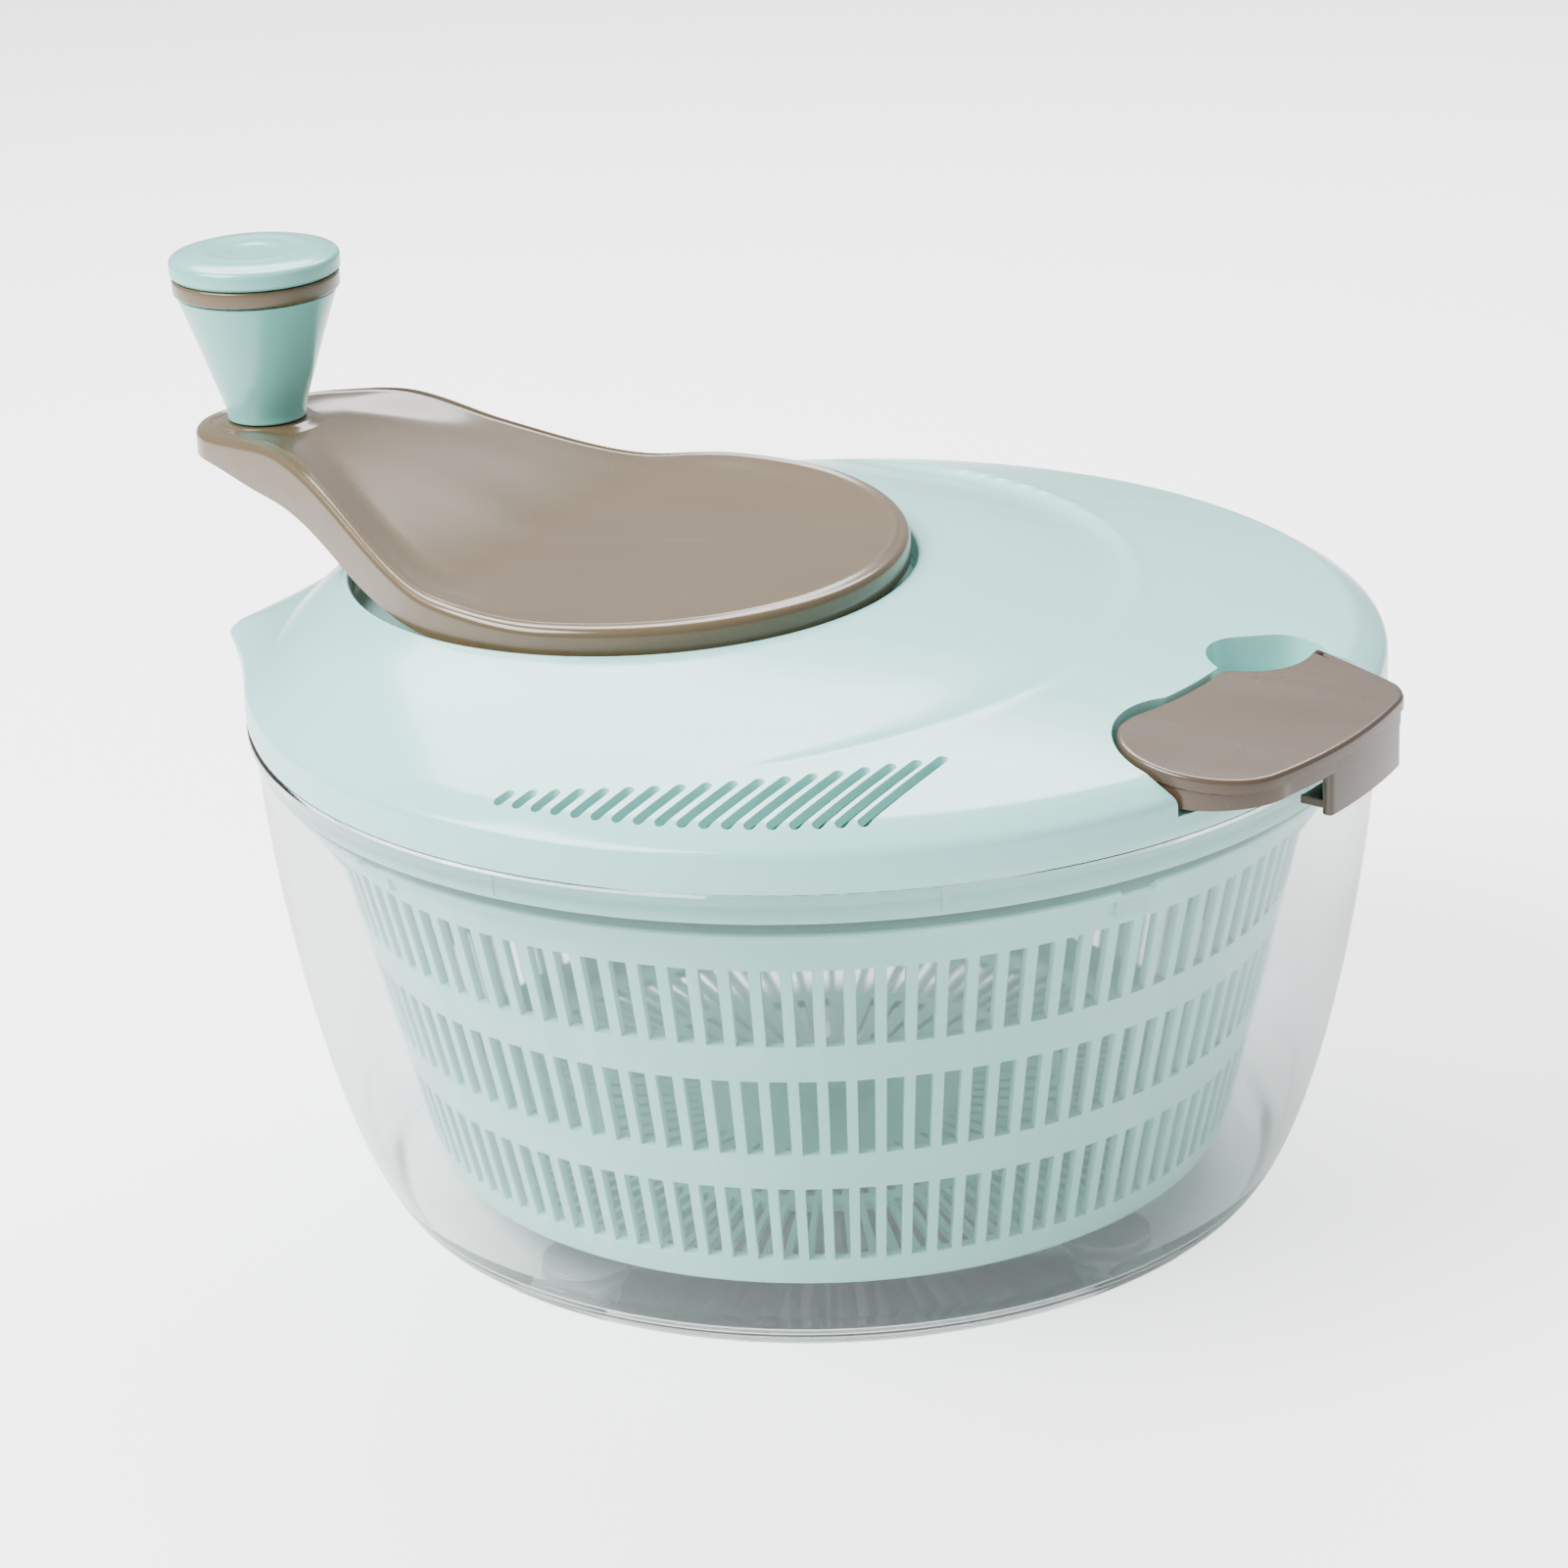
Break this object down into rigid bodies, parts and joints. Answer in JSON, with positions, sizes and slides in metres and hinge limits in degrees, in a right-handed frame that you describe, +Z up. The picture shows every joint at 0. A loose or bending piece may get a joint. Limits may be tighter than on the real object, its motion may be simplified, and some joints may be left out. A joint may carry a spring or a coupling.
{
  "type": "salad spinner",
  "caption": "Hand-cranked salad spinner: clear bowl, slotted basket, domed vented lid with a rising paddle crank and turning knob, side latch and internal gears.",
  "frame": {"origin": "on the basket's spin axis, in the plane that the feet stand on", "axes": "+Z up along the spin axis; +X away from the lid's beak, so the crank's axis is on the -X side and the latch is on the +X side towards -Y"},
  "size_m": [0.2803, 0.252, 0.2053],
  "materials": {
    "clear_plastic": "clear, polished, faintly warm grey",
    "foot_rubber": "matt grey",
    "basket_plastic": "satin pale aqua",
    "lid_plastic": "soft gloss pale aqua",
    "crank_plastic": "gloss taupe",
    "bearing_plastic": "natural white, satin",
    "screw_steel": "plated"
  },
  "bodies": {
    "bowl_body": {"bowl": "clear_plastic", "foot_1": "foot_rubber", "foot_2": "foot_rubber", "foot_3": "foot_rubber", "foot_4": "foot_rubber"},
    "basket_body": {"basket": "basket_plastic"},
    "lid_body": {"lid_shell": "lid_plastic", "gear_cover": "basket_plastic", "cover_screw_1": "screw_steel", "cover_screw_2": "screw_steel", "cover_screw_3": "screw_steel", "cover_screw_4": "screw_steel", "cover_screw_5": "screw_steel", "cover_screw_6": "screw_steel", "crank_bush": "bearing_plastic", "driver_bush": "bearing_plastic", "latch_pin": "screw_steel"},
    "crank_body": {"crank_arm": "crank_plastic", "crank_gear": "bearing_plastic", "crank_washer": "screw_steel", "crank_screw": "screw_steel", "knob_spindle": "screw_steel"},
    "knob": {"knob_body": "lid_plastic", "knob_ring": "crank_plastic", "knob_cap": "lid_plastic"},
    "driver": {"driver_disc": "basket_plastic", "pinion_gear": "bearing_plastic", "driver_screw": "screw_steel"},
    "latch_body": {"latch": "crank_plastic"}
  },
  "joints": [
    {"name": "lid_lift", "type": "slide", "parent": "bowl_body", "child": "lid_body", "axis": [0, 0, 1], "range_m": [0, 0.08]},
    {"name": "crank_turn", "type": "hinge", "parent": "lid_body", "child": "crank_body", "pos_m": [-0.04, 0, 0.14], "axis": [0, 0, 1], "continuous": true},
    {"name": "knob_spin", "type": "hinge", "parent": "crank_body", "child": "knob", "pos_m": [-0.12927, 0.02226, 0.166], "axis": [0, 0, 1], "continuous": true},
    {"name": "driver_spin", "type": "hinge", "parent": "lid_body", "child": "driver", "pos_m": [0, 0, 0.11], "axis": [0, 0, 1], "continuous": true},
    {"name": "basket_spin", "type": "hinge", "parent": "bowl_body", "child": "basket_body", "pos_m": [0, 0, 0.0143], "axis": [0, 0, 1], "continuous": true},
    {"name": "latch_swing", "type": "hinge", "parent": "lid_body", "child": "latch_body", "pos_m": [0.09477, -0.06861, 0.12], "axis": [0, 0, -1], "range_deg": [0, 20]}
  ],
  "couplings": [
    {"joint": "driver_spin", "follows": "crank_turn", "ratio": -3},
    {"joint": "basket_spin", "follows": "crank_turn", "ratio": -3}
  ]
}
